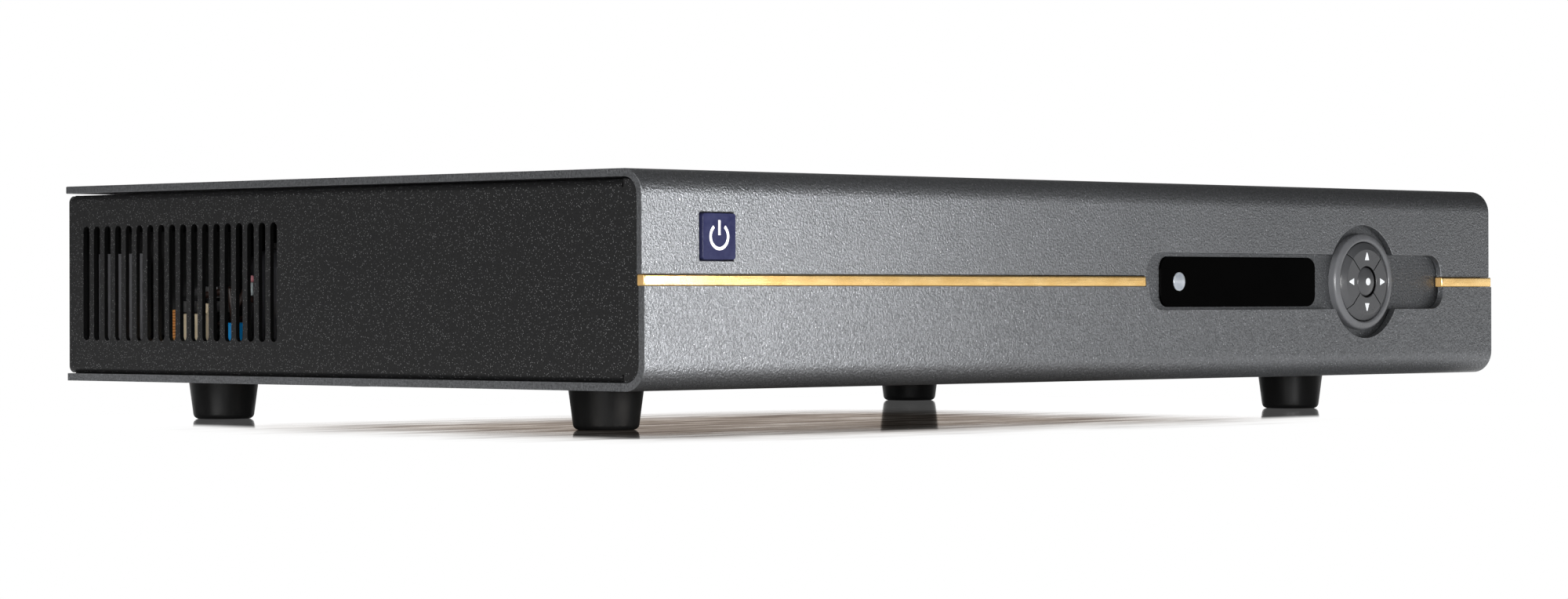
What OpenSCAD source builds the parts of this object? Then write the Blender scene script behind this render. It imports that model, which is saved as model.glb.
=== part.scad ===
// Desktop audio converter: a low, wide sheet-metal case on four rubber feet.
// Two folded covers meet half-way up the front, where a bright trim strip lies between them.
// A recess through both covers holds a display window and a round five-way keypad.
//
// The modules below work in the case's own coordinates: X to the right, Y from the front face
// to the back, Z up from the underside of the bottom plate. seat() moves them to the part's frame.

/* [Case] */
// Overall width of the case
case_w = 431.8; // [430:0.1:436]
// Height from the underside of the bottom plate to the top of the top plate
case_h = 66.7; // [66.7:0.1:68]
// Depth from the front face to the rear edge of the top plate
case_d = 288.5; // [288.5:0.1:292]
// Sheet thickness of the two folded covers
cover_t = 2.5; // [2.3:0.1:2.5]
// Outer radius of the bends at the top and bottom of the front
bend_r = 8; // [7.5:0.1:8.5]
// How far the upper front face is set back from the lower one
face_step = 1; // [0.8:0.1:1.1]

/* [Feet] */
// Height of a foot
foot_h = 13.4; // [12:0.1:16]
// Radius of a foot where it meets the case
foot_top_r = 12; // [11.5:0.1:13]
// Radius of a foot near its base
foot_base_r = 10.5; // [10:0.1:11.5]
// Sideways distance of the feet from the middle
foot_x = 174.3; // [170:0.1:178]
// Distance of the front feet from the front face
foot_front_y = 61.1; // [58:0.1:64]
// Distance of the rear feet from the front face
foot_rear_y = 254.3; // [252:0.1:256]

/* [Trim strip] */
// Height of the trim strip
trim_h = 3.4; // [3:0.1:3.6]
// Where the left strip ends
trim_left_end = 16.95; // [15:0.05:17]
// Where the right strip starts
trim_right_start = 185.2; // [184.5:0.1:186]

/* [Front recess] */
// Left end of the recess
recess_left = 18.4; // [18.2:0.1:18.6]
// Right end of the recess
recess_right = 186; // [185.5:0.1:187]
// Height of the recess
recess_h = 19.3; // [19:0.1:20]
// Corner radius of the recess
recess_r = 7; // [5:0.1:8]
// Radius of the round part around the keypad
dial_r = 20.1; // [19.5:0.1:21]

/* [Vents] */
// Number of slots in each side panel
vent_count = 18; // [10:1:18]
// Distance between slots
vent_pitch = 6; // [5.5:0.1:6]
// Width of a slot
vent_w = 3.5; // [3:0.1:3.9]

/* [Keys] */
// Travel of the keypad's keys
key_travel = 0.6; // [0.4:0.05:0.6]
// Gap around each key
key_gap = 0.3; // [0.25:0.01:0.35]

/* [Hidden] */
$fn = 48;

// Frame: the middle of the whole length, at the surface the feet stand on
front_reach = 1.2;              // the select key stands this far in front of the lower face
rear_end = case_d + 9.5;        // tips of the phono sockets
mid_y = (rear_end - front_reach) / 2;

// Levels
seam_z = case_h / 2 - 0.15;
trim_low = seam_z - trim_h / 2;
top_under = case_h - cover_t;
plate_back = case_d - 1;        // rear edge of the bottom plate
panel_low = cover_t;
panel_high = top_under - 0.6;
bend_inner = bend_r - cover_t;

// Inner front panel, which is the floor of the recess
subpanel_y = 3.6;
subpanel_t = 2;
subpanel_back = subpanel_y + subpanel_t;

// Side panels
side_t = 1.5;
side_x = case_w / 2 - 1.5;      // outer face
side_inner = side_x - side_t;
side_roll = 2.5;
side_flange = 9.5;
side_front = 3.9;
relief_y = 10.5;
relief_w = 0.8;
vent_first = 176.7;
vent_low = 13.8;
vent_high = 52.9;

// Rear panel
rear_t = 1.5;
rear_y = case_d - 3;            // inner face
rear_out = rear_y + rear_t;
rear_flange = 12;
rear_flange_x = 198;

// Display window and infrared lens
window_x = [28.1, 113.5];
window_z = [24.8, 41.5];
window_r = 3.75;
window_y = 3;
lens_at = [38, seam_z];
lens_r = 3.2;

// Keypad
dial_at = [138.9, seam_z + 0.1];
bezel_r = 17.1;
bezel_inner = 14.2;
collar_r = 15.2;
collar_back = 6.6;
key_outer = bezel_inner - key_gap;
select_r = 5.2;
key_flange_y = collar_back + key_gap;
key_flange_t = 1;
select_flange_y = 8.8;
stem_r = 1.4;
stem_at = 9.7;
stem_end = 11.2;
board_y = 13;                   // front face of the boards behind the inner front panel
board_t = 1.6;
switch_w = 6;
switch_front = 10.4;
switch_floor = stem_end + key_travel + 0.3;

// Standby button
standby_at = [-184.6, 46.45];
standby_w = 14;

// Boards and their parts
low_board_z = 10.5;
main_board_z = 19.6;
main_top = main_board_z + board_t;
low_top = low_board_z + board_t;
low_mounts = [
    [-201, 29], [-117, 29], [-201, 155], [-117, 155],
    [-200.5, 182], [-192, 216], [-190, 252]
];
main_mounts = [
    [-86, 116], [60, 116], [200, 116], [-86, 196],
    [60, 196], [200, 196], [-60, 262], [135, 262]
];

// Transformer
toroid_at = [-142, 214];
toroid_r = 41;
toroid_bore = 14;
toroid_z = [5, 45];
bolt_r = 4;

// Rear connectors, as [x, z] of each middle
inlet_at = [-178, 33.3];
rocker_at = [-148, 33.3];
trigger_at = [[-84, main_top + 5.5], [-70, main_top + 5.5]];
usb_at = [-46, main_top + 5.5];
video_at = [[-20, main_top + 3.2], [2, main_top + 3.2]];
optical_at = [26, main_top + 5.6];
optical_face = rear_out + 3;
shutter_at = [optical_at[0], optical_face - 1.2, optical_at[1] + 3.2];
phono_at = [[48, 33.3], [106, 33.3], [124, 33.3]];
xlr_in_at = [77, 33.3];
xlr_out_at = [[152, 33.3], [183, 33.3]];
xlr_r = 11.8;
xlr_bore = 8.2;
xlr_depth = 12.5;
xlr_face = rear_out + 1.6;
phono_r = 4.15;
jack_bore = 1.8;

// Places for a shape -----------------------------------------------------------------------

module seat() translate([0, -mid_y, foot_h]) children();

// A flat (y, z) shape drawn across the case from x0 to x1
module across(x0, x1) translate([x0, 0, 0]) rotate([90, 0, 90]) linear_extrude(x1 - x0) children();

// A flat (x, z) shape drawn from y0 back to y1
module deep(y0, y1) translate([0, y1, 0]) rotate([90, 0, 0]) linear_extrude(y1 - y0) children();

// A flat (x, y) shape drawn from z0 up to z1
module tall(z0, z1) translate([0, 0, z0]) linear_extrude(z1 - z0) children();

// A block between two corners
module block(low, high) translate(low) cube(high - low);

// A shaft along Y at the point [x, z]
module shaft(at, r, y0, y1) translate([at[0], y0, at[1]]) rotate([-90, 0, 0]) cylinder(r = r, h = y1 - y0);

// A pin along X, centred on the origin
module cross_pin(r, length) rotate([0, 90, 0]) cylinder(r = r, h = length, center = true);

// A (radius, y) outline turned about the line along Y through [x, z]
module turned(at) translate([at[0], 0, at[1]]) rotate([-90, 0, 0]) rotate_extrude() children();

// A rectangle about the origin with round corners
module round_rect(w, h, r) {
    square([w - 2 * r, h], center = true);
    square([w, h - 2 * r], center = true);
    for (sx = [-1, 1], sz = [-1, 1])
        translate([sx * (w / 2 - r), sz * (h / 2 - r)]) circle(r);
}

// Covers ---------------------------------------------------------------------------------------

// Section of a folded sheet: a plate along Y, a bend, and an upright face up to the seam
module folded_sheet(face_y, plate_end, seam) {
    translate([face_y + bend_r, 0]) square([plate_end - face_y - bend_r, cover_t]);
    translate([face_y, bend_r]) square([cover_t, seam - bend_r]);
    translate([face_y + bend_r, bend_r])
        intersection() {
            difference() {
                circle(bend_r);
                circle(bend_inner);
            }
            translate([-bend_r, -bend_r]) square(bend_r);
        }
}

module recess_outline() {
    translate([(recess_left + recess_right) / 2, seam_z])
        round_rect(recess_right - recess_left, recess_h, recess_r);
    translate(dial_at) circle(dial_r);
}

// Room for both trim strips between the covers' front edges
module trim_room() {
    gap = 0.05;
    block([-case_w, -1, trim_low - gap], [trim_left_end + gap, subpanel_y, trim_low + trim_h + gap]);
    block([trim_right_start - gap, -1, trim_low - gap], [case_w, subpanel_y, trim_low + trim_h + gap]);
}

module foot_places() {
    for (x = [-foot_x, foot_x], y = [foot_front_y, foot_rear_y]) translate([x, y, 0]) children();
}

module base_screw_places() {
    for (x = [-207, 207], y = [40, 150, 240]) translate([x, y, 0]) children();
}

module countersink() {
    translate([0, 0, -1]) cylinder(r = 1.6, h = 5);
    cylinder(r1 = 3, r2 = 1.6, h = 1.5);
    translate([0, 0, -1]) cylinder(r = 3, h = 1);
}

module rear_screw_places() {
    for (x = [-190, 0, 190]) translate([x, 279, 0]) children();
}

module bottom_cover() color("#4a4c4f") seat() difference() {
    across(-case_w / 2, case_w / 2) folded_sheet(0, plate_back, seam_z);
    deep(-1, 6) recess_outline();
    trim_room();
    foot_places() translate([0, 0, -1]) cylinder(r = 2.1, h = 5);
    base_screw_places() countersink();
    rear_screw_places() countersink();
    translate([toroid_at[0], toroid_at[1], -1]) cylinder(r = bolt_r + 0.1, h = 5);
}

module top_cover() color("#46484b") seat() difference() {
    translate([0, 0, case_h]) mirror([0, 0, 1])
        across(-case_w / 2, case_w / 2) folded_sheet(face_step, case_d, case_h - seam_z);
    deep(-1, 6) recess_outline();
    trim_room();
    deep(-1, 6) translate(standby_at) square(standby_w + 2 * key_gap, center = true);
}

// A trim strip with rounded upright corners at both ends
module trim(x0, x1) {
    r = 0.6;
    tall(trim_low, trim_low + trim_h)
        translate([(x0 + x1) / 2, (subpanel_y - 0.2) / 2]) round_rect(x1 - x0, subpanel_y - 0.2, r);
}

module trim_left() color("#e0ab45") seat() trim(-case_w / 2, trim_left_end);

module trim_right() color("#e0ab45") seat() trim(trim_right_start, case_w / 2);

// Side panel on the right: folded inward along its top and bottom, with a plain tab at the front
module side_panel() {
    height = panel_high - panel_low;
    middle = (panel_high + panel_low) / 2;
    difference() {
        union() {
            difference() {
                deep(relief_y + relief_w, case_d) translate([side_x - side_flange, middle])
                    difference() {
                        round_rect(2 * side_flange, height, side_roll);
                        round_rect(2 * (side_flange - side_t), height - 2 * side_t, side_roll - side_t);
                        translate([-side_flange, 0]) square([2 * side_flange, 2 * height], center = true);
                    }
                block([0, rear_y, 0], [side_inner, case_d + 1, case_h]);
            }
            block(
                [side_inner, relief_y, panel_low + side_roll],
                [side_x, relief_y + relief_w, panel_high - side_roll]
            );
            across(side_inner, side_x) front_tab();
        }
        for (i = [0:vent_count - 1]) vent_slot(vent_first + i * vent_pitch);
        for (y = [40, 150, 240]) translate([207, y, 0]) cylinder(r = 1.5, h = panel_low + 3);
    }
}

// The front end of a side panel, with corners that follow the covers' bends
module front_tab() {
    r = bend_inner;
    translate([side_front + r, panel_low]) square([relief_y - side_front - r, panel_high - panel_low]);
    translate([side_front, panel_low + r]) square([r, panel_high - panel_low - 2 * r]);
    for (z = [panel_low + r, panel_high - r]) translate([side_front + r, z]) intersection() {
        circle(r);
        translate([-r, -r]) square([r, 2 * r]);
    }
}

module vent_slot(y) {
    r = vent_w / 2;
    block([side_inner - 1, y - r, vent_low + r], [side_x + 1, y + r, vent_high - r]);
    for (z = [vent_low + r, vent_high - r])
        translate([side_inner - 1, y, z]) rotate([0, 90, 0]) cylinder(r = r, h = side_t + 2);
}

module right_side_panel() color("#232426") seat() side_panel();

module left_side_panel() color("#232426") seat() mirror([1, 0, 0]) side_panel();

module front_subpanel() color("#3f4144") seat() difference() {
    z0 = bend_r + 0.2;
    z1 = case_h - bend_r - 0.5;
    flange = 11;
    union() {
        block([-side_inner, subpanel_y, z0], [side_inner, subpanel_back, z1]);
        for (s = [-1, 1])
            translate([s * (side_inner - side_t / 2), subpanel_back + flange / 2, (z0 + z1) / 2])
                cube([side_t, flange + 1, z1 - z0], center = true);
    }
    deep(0, 20) translate([(window_x[0] + window_x[1]) / 2, (window_z[0] + window_z[1]) / 2])
        round_rect(window_x[1] - window_x[0] + 0.3, window_z[1] - window_z[0] + 0.3, window_r + 0.15);
    shaft(dial_at, collar_r + 0.1, 0, 10);
    deep(0, 20) translate(standby_at) square(standby_w + 2 * key_gap, center = true);
}

module rear_panel() color("#232426") seat() difference() {
    front = rear_y - rear_flange;
    union() {
        block([-side_inner, rear_y, panel_low], [side_inner, rear_out, panel_high]);
        for (z = [panel_low, panel_high - rear_t])
            block([-rear_flange_x, front, z], [rear_flange_x, rear_y + 0.1, z + rear_t]);
    }
    rear_screw_places() cylinder(r = 1.5, h = 5);
    deep(rear_y - 1, rear_out + 1) rear_holes();
}

// The holes that the rear connectors pass through
module rear_holes() {
    translate(inlet_at) square([27.2, 36], center = true);
    translate(rocker_at) square([13, 19], center = true);
    for (at = concat([xlr_in_at], xlr_out_at)) translate(at) circle(xlr_r + 0.2);
    translate(xlr_in_at + [0, 11.8]) square([8, 6], center = true);
    for (at = phono_at) translate(at) circle(phono_r + 0.15);
    for (at = trigger_at) translate(at) circle(3.9);
    translate(usb_at) square([12.4, 11.2], center = true);
    for (at = video_at) translate(at) square([15.4, 6.6], center = true);
    translate(optical_at) square([14, 11.6], center = true);
}

// Feet and fasteners ---------------------------------------------------------------------------

module foot(x, y) color("#161616") seat() translate([x, y, -foot_h]) difference() {
    round_r = 2;
    rotate_extrude() {
        polygon([
            [0, 0], [foot_base_r - round_r, 0],
            for (a = [15:15:90]) [foot_base_r - round_r + round_r * sin(a), round_r - round_r * cos(a)],
            [foot_top_r, foot_h], [0, foot_h]
        ]);
    }
    translate([0, 0, -1]) cylinder(r = 4.6, h = 9);
    cylinder(r = 2.1, h = foot_h + 1);
}

module foot_front_left() foot(-foot_x, foot_front_y);
module foot_front_right() foot(foot_x, foot_front_y);
module foot_rear_left() foot(-foot_x, foot_rear_y);
module foot_rear_right() foot(foot_x, foot_rear_y);

// A countersunk screw with its head's flat face at z = 0
module flat_screw(r, length, head_r, head_h) difference() {
    union() {
        cylinder(r = r, h = length);
        cylinder(r1 = head_r, r2 = r, h = head_h);
    }
    cross_slot(head_r, 0);
}

// The driver's cross in a screw's head, centred at height z
module cross_slot(head_r, z) for (a = [0, 90]) rotate(a) translate([0, 0, z])
    cube([head_r * 1.1, head_r * 0.25, 1.6], center = true);

// A pan-head screw standing on its head, with the head's bearing face at z = 0
module pan_screw(r, length, head_r, head_h) difference() {
    union() {
        cylinder(r = r, h = length);
        translate([0, 0, -head_h]) cylinder(r = head_r, h = head_h);
    }
    cross_slot(head_r, -head_h);
}

module foot_screws() color("silver") seat()
    foot_places() translate([0, 0, 8 - foot_h]) pan_screw(2, foot_h - 8 + cover_t + 3, 4, 2.4);

module case_screws() color("#2a2a2a") seat() {
    base_screw_places() flat_screw(1.5, 6, 2.9, 1.5);
    rear_screw_places() flat_screw(1.5, 6, 2.9, 1.5);
}

// Front controls ---------------------------------------------------------------------------------

module display_window() color("#050506") seat() difference() {
    at = [(window_x[0] + window_x[1]) / 2, (window_z[0] + window_z[1]) / 2];
    w = window_x[1] - window_x[0];
    h = window_z[1] - window_z[0];
    union() {
        deep(window_y, subpanel_back + 0.1) translate(at) round_rect(w, h, window_r);
        deep(subpanel_back, subpanel_back + 1.5) translate(at) round_rect(w + 4, h + 4, window_r + 1);
    }
    shaft(lens_at, lens_r + 0.05, 0, 10);
}

module ir_lens() color("#8e979f") seat() turned(lens_at)
    polygon([
        [0, window_y - 0.4],
        for (a = [15:15:90]) [lens_r * sin(a), window_y - 0.4 * cos(a)],
        [lens_r, 7.1], [lens_r + 0.9, 7.1], [lens_r + 0.9, 8.1], [0, 8.1]
    ]);

module ir_receiver() color("#1c1c20") seat() {
    block([lens_at[0] - 3, 9.2, lens_at[1] - 3.2], [lens_at[0] + 3, board_y, lens_at[1] + 3.2]);
    translate([lens_at[0], 9.2, lens_at[1]]) intersection() {
        sphere(r = 2);
        block([-3, -0.9, -3], [3, 0, 3]);
    }
}

module display_panel() color("#101418") seat()
    block([45, 7.4, 26], [110, board_y, 40.5]);

module front_board() color("#1d4a32") seat() {
    difference() {
        block([22, board_y, 13], [168, board_y + board_t, 53]);
        for (at = [[25, 16], [165, 16], [25, 50], [165, 50]]) shaft(at, 1.3, board_y - 1, board_y + 3);
    }
    block([80, board_y + board_t, 16], [112, board_y + board_t + 5, 22]);
}

module front_standoffs() color("#c9a94a") seat() {
    for (at = [[25, 16], [165, 16], [25, 50], [165, 50], [-194, 35], [-175, 35]]) {
        shaft(at, 2.5, subpanel_back, board_y);
        shaft(at, 1.2, board_y - 0.1, board_y + 2.6);
    }
}

module nav_bezel() color("#2d2e30") seat() turned(dial_at) {
    crown = 0.2;
    rim_y = 1.5;
    polygon([
        [bezel_inner, collar_back], [bezel_inner, 0.7], [bezel_inner + 0.25, 0.35],
        for (a = [0:15:90]) [bezel_inner + 0.7 + (bezel_r - bezel_inner - 0.7) * sin(a),
            crown + (rim_y - crown) * (1 - cos(a))],
        [bezel_r, subpanel_y], [collar_r, subpanel_y], [collar_r, collar_back]
    ]);
}

// One of the four outer keys, turned to its place: 0 is up
module quadrant_key(turn) {
    lift = key_gap / sqrt(2);
    reach = 20;
    flange_r = collar_r + 0.4;
    back = key_flange_y + key_flange_t;
    intersection() {
        turned(dial_at) polygon([
            [select_r + key_gap, back], [select_r + key_gap, -0.5], [select_r + key_gap + 0.2, -0.7],
            [11.3, -0.7], [11.7, -0.55], [key_outer - 0.2, 0.7], [key_outer, 1],
            [key_outer, key_flange_y], [flange_r, key_flange_y], [flange_r, back]
        ]);
        deep(-2, 10) translate(dial_at) rotate(turn)
            polygon([[0, lift], [reach, reach + lift], [-reach, reach + lift]]);
    }
    shaft(dial_at + stem_at * [-sin(turn), cos(turn)], stem_r, back - 0.1, stem_end);
}

module nav_up_key() color("#333436") seat() quadrant_key(0);
module nav_left_key() color("#333436") seat() quadrant_key(90);
module nav_down_key() color("#333436") seat() quadrant_key(180);
module nav_right_key() color("#333436") seat() quadrant_key(270);

module nav_select_key() color("#333436") seat() {
    dome = 1.5;
    flange_t = 0.6;
    turned(dial_at) polygon([
        [0, -front_reach],
        for (a = [15:15:90]) [select_r * sin(a), -front_reach + dome * (1 - cos(a))],
        [select_r, select_flange_y], [select_r + 1.1, select_flange_y],
        [select_r + 1.1, select_flange_y + flange_t], [0, select_flange_y + flange_t]
    ]);
    shaft(dial_at, stem_r, select_flange_y + flange_t - 0.1, stem_end);
}

function switch_places() = concat(
    [dial_at, standby_at],
    [for (turn = [0:90:270]) dial_at + stem_at * [-sin(turn), cos(turn)]]
);

module key_switches() color("#141414") seat() for (at = switch_places()) difference() {
    half = switch_w / 2 - 0.05;
    block([at[0] - half, switch_front, at[1] - half], [at[0] + half, board_y, at[1] + half]);
    shaft(at, stem_r + 0.2, switch_front - 1, switch_floor);
}

module standby_button() color("#1b1d3c") seat() {
    flange_w = standby_w + 3;
    flange_y = subpanel_back + 0.3;
    deep(0, flange_y + 0.1) translate(standby_at) round_rect(standby_w, standby_w, 1);
    deep(flange_y, flange_y + 1) translate(standby_at) square(flange_w, center = true);
    shaft(standby_at, stem_r, flange_y + 0.9, stem_end);
}

module standby_board() color("#1d4a32") seat() {
    difference() {
        block([-198, board_y, 31], [-171, board_y + board_t, 57]);
        for (x = [-194, -175]) shaft([x, 35], 1.3, board_y - 1, board_y + 3);
    }
    block([-180, board_y + board_t, 40], [-174, board_y + board_t + 5, 50]);
}

// Boards and what stands on them -----------------------------------------------------------------

module main_board() color("#1d4a32") seat() difference() {
    block([-91, 111, main_board_z], [206, rear_y - 0.3, main_top]);
    for (at = main_mounts) translate([at[0], at[1], 0]) cylinder(r = 1.6, h = 40);
}

module supply_board() color("#1d4a32") seat() difference() {
    block([-206, 24, low_board_z], [-112, 160, low_top]);
    for (at = low_mounts) translate([at[0], at[1], 0]) cylinder(r = 1.6, h = 40);
}

module filter_board() color("#1d4a32") seat() difference() {
    block([-209, 177, low_board_z], [-185, 257, low_top]);
    for (at = low_mounts) translate([at[0], at[1], 0]) cylinder(r = 1.6, h = 40);
}

module standoff(at, top) translate([at[0], at[1], cover_t]) difference() {
    cylinder(r = 3.2, h = top - cover_t, $fn = 6);
    cylinder(r = 1.5, h = top);
}

module board_standoffs() color("#c9a94a") seat() {
    for (at = low_mounts) standoff(at, low_board_z);
    for (at = main_mounts) standoff(at, main_board_z);
}

module board_screw(at, top) translate([at[0], at[1], top]) rotate([180, 0, 0]) pan_screw(1.5, 6, 2.8, 1.8);

module board_screws() color("silver") seat() {
    for (at = low_mounts) board_screw(at, low_top);
    for (at = main_mounts) board_screw(at, main_top);
}

// A chip package on the main board
module chip(x, y, w, d, h) block([x - w / 2, y - d / 2, main_top], [x + w / 2, y + d / 2, main_top + h]);

module logic_chips() color("#17181a") seat() {
    chip(-10, 190, 24, 24, 2.4);
    chip(30, 190, 12, 12, 1.4);
    chip(-46, 236, 12, 12, 1.4);
    chip(100, 180, 10, 10, 1.4);
    for (x = [95, 110, 150, 165], y = [205, 222]) chip(x, y, 6, 5, 1.6);
    for (x = [88, 178]) chip(x, 150, 16, 10, 9);
    for (x = [130, 146, 162]) chip(x, 150, 8, 12, 12);
}

module chip_heatsink() color("#303235") seat() {
    base = main_top + 2.4;
    block([-22, 178, base], [2, 202, base + 2]);
    for (i = [0:6]) block([-22 + i * 3.8, 178, base + 1.9], [-20.8 + i * 3.8, 202, base + 12]);
}

module power_transformer() color("#2a2b2e") seat() translate([toroid_at[0], toroid_at[1], 0])
    rotate_extrude() translate([(toroid_r + toroid_bore) / 2, (toroid_z[0] + toroid_z[1]) / 2])
        round_rect(toroid_r - toroid_bore, toroid_z[1] - toroid_z[0], 7);

module transformer_pads() color("#101010") seat() translate([toroid_at[0], toroid_at[1], 0])
    for (z = [[cover_t, toroid_z[0]], [toroid_z[1], toroid_z[1] + 2]]) difference() {
        translate([0, 0, z[0]]) cylinder(r = toroid_r - 6, h = z[1] - z[0]);
        translate([0, 0, z[0] - 1]) cylinder(r = bolt_r + 0.1, h = 5);
    }

module transformer_dish() color("#b9bbbd") seat()
    translate([toroid_at[0], toroid_at[1], toroid_z[1] + 2]) rotate_extrude()
        polygon([[bolt_r + 0.1, 0], [30, 0], [32, 1], [32, 2], [29, 2], [27.5, 1.5], [bolt_r + 0.1, 1.5]]);

module transformer_bolt() color("silver") seat() translate([toroid_at[0], toroid_at[1], 0]) {
    nut_z = toroid_z[1] + 3.5;
    pan_screw(bolt_r, nut_z + 8, 7, 2.2);
    translate([0, 0, nut_z]) difference() {
        cylinder(r = 7.5, h = 6, $fn = 6);
        translate([0, 0, -1]) cylinder(r = bolt_r + 0.05, h = 8);
    }
}

module smoothing_capacitors() color("#1a1d2b") seat()
    for (x = [-190, -162], y = [52, 80, 108, 136])
        translate([x, y, low_top]) difference() {
            cylinder(r = 11, h = 36);
            translate([0, 0, 35.4]) cylinder(r = 9.6, h = 1);
        }

module regulator_heatsink() color("#8f9296") seat() {
    block([-126, 44, low_top], [-123, 146, 46]);
    for (i = [0:8]) block([-123.1, 44 + i * 12.4, low_top], [-113, 46.8 + i * 12.4, 46]);
}

module regulators() color("#17181a") seat() for (y = [56, 80, 104, 128]) {
    block([-130.6, y, 18], [-126, y + 10, 33]);
    for (i = [0:2]) block([-129, y + 1.6 + i * 2.9, low_top], [-128.4, y + 2.6 + i * 2.9, 18]);
}

// Plate beside the mains inlet, with a foot folded inward along the base
module inlet_shield() color("#55575a") seat() {
    sheet = 1.2;
    left = -204.5;
    front = 260.5;
    block([left, front, panel_low], [left + sheet, rear_y - 0.3, 43.5]);
    block([left + sheet - 0.1, front, panel_low], [left + 10, rear_y - rear_flange - 0.5, panel_low + sheet]);
}

module film_capacitors() color("#c4ad7c") seat() {
    block([-206, 226.9, low_top], [-201, 238.9, 23]);
    block([-198, 232.8, low_top], [-195.5, 238.6, 26.5]);
}

module mains_relay() color("#1f6fb4") seat() block([-203, 213, low_top], [-197, 219.4, 20]);

// Section of the flat cable from the front board to the main board
module ribbon_cable() color("#9a9c9e") seat() across(82, 110) polygon([
    [20, 18.4], [40, 18.4], [110, 26], [120, 26], [120, main_top],
    [121, main_top], [121, 27], [109.9, 27], [39.9, 19.4], [20, 19.4]
]);

// A round wire through a list of points
module wire(points, r) for (i = [0:len(points) - 1]) {
    sides = 10;
    translate(points[i]) sphere(r = r, $fn = sides);
    if (i > 0) {
        run = points[i] - points[i - 1];
        translate(points[i - 1]) rotate([0, acos(run[2] / norm(run)), atan2(run[1], run[0])])
            cylinder(r = r, h = norm(run), $fn = sides);
    }
}

module mains_wiring() color("#7a3b2a") seat() {
    wire([[-171, 250.6, 25.3], [-168, 249.5, 32], [-156, 256, 40], [-148, 264.6, 38]], 1.2);
    wire([[-185, 250.6, 25.3], [-190, 246, 29], [-189, 232, 31], [-189, 228, 13.4]], 1.2);
    wire([[-148, 264.6, 29], [-158, 257, 22], [-186, 252, 17.5], [-192, 244, 13.4]], 1.2);
}

// Mains inlet and switch -------------------------------------------------------------------------

inlet_z = inlet_at[1] - 6;
drawer_at = inlet_at + [0, 12];
inlet_face = rear_out + 2;
inlet_back = 262;
inlet_floor = inlet_face - 16;

module inlet_body() color("#141414") seat() difference() {
    union() {
        deep(rear_out, inlet_face) translate(inlet_at) round_rect(31, 40, 2);
        deep(inlet_back, rear_out + 0.1) translate(inlet_at) square([27, 35.8], center = true);
    }
    deep(inlet_floor, inlet_face + 1) translate([inlet_at[0], inlet_z]) polygon([
        [-12.2, -8.2], [12.2, -8.2], [12.2, 4], [8, 8.2], [-8, 8.2], [-12.2, 4]
    ]);
    deep(inlet_back + 1.5, inlet_face + 1) translate(drawer_at) square([22.6, 8.2], center = true);
    blade_places() square([2, 4], center = true);
}

// The three contacts of the inlet, from y0 to y1
module blade_places(y0 = 240, y1 = 300) {
    for (at = [[-7, -2], [7, -2], [0, 3]])
        deep(y0, y1) translate([inlet_at[0] + at[0], inlet_z + at[1]]) children();
}

module inlet_blades() color("silver") seat() blade_places(252, inlet_face - 2) square([2, 4], center = true);

module fuse_drawer() color("#1a1a1a") seat() difference() {
    trough_r = 2.7;
    front = inlet_back + 2.5;
    back = inlet_back + 23.2;
    union() {
        deep(inlet_back + 2, inlet_face - 0.5) translate(drawer_at) square([22, 7.6], center = true);
        deep(inlet_face + 0.1, inlet_face + 1.6) translate(drawer_at) round_rect(24, 9.4, 1);
        deep(inlet_face - 0.6, inlet_face + 0.2) translate(drawer_at) square([20, 6], center = true);
    }
    shaft(drawer_at, trough_r, front, back);
    deep(front, back) translate(drawer_at + [0, 3]) square([2 * trough_r, 6], center = true);
}

module mains_fuse() color("#d8dcdf") seat() {
    shaft(drawer_at, 2.5, inlet_back + 8, inlet_back + 18);
    shaft(drawer_at, 2.65, inlet_back + 2.8, inlet_back + 8);
    shaft(drawer_at, 2.65, inlet_back + 18, inlet_back + 23);
}

rocker_pivot_y = rear_out - 3.5;
rocker_r = 7.8;
rocker_tilt = 8;

module rocker_frame() color("#141414") seat() difference() {
    union() {
        deep(rear_out, rear_out + 1.5) translate(rocker_at) round_rect(15, 21, 1.2);
        deep(268, rear_out + 0.1) translate(rocker_at) square([12.8, 18.8], center = true);
    }
    deep(272, rear_out + 3) translate(rocker_at) square([10, 16.4], center = true);
    translate([rocker_at[0], rocker_pivot_y, rocker_at[1]]) cross_pin(1.25, 11.2);
}

// The rocker lies on its "on" side at rest
module power_rocker() color("#1c1c1c") seat()
    translate([rocker_at[0], rocker_pivot_y, rocker_at[1]]) rotate([rocker_tilt, 0, 0]) {
        across(-4.7, 4.7) intersection() {
            circle(rocker_r);
            polygon([[-3, -9], [4.6, -9], [5.6, -7], [3.4, 0], [5.6, 7], [4.6, 9], [-3, 9]]);
        }
        cross_pin(1.2, 11);
    }

// Signal connectors ------------------------------------------------------------------------------

// Square flange with the round body behind it
module xlr_housing(at) {
    deep(rear_out, xlr_face) translate(at) round_rect(26, 31, 2);
    shaft(at, xlr_r, rear_out - 19, rear_out + 0.1);
}

function pin_places(at) = [at + [-3.6, 1.6], at + [3.6, 1.6], at + [0, -3.6]];

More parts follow.
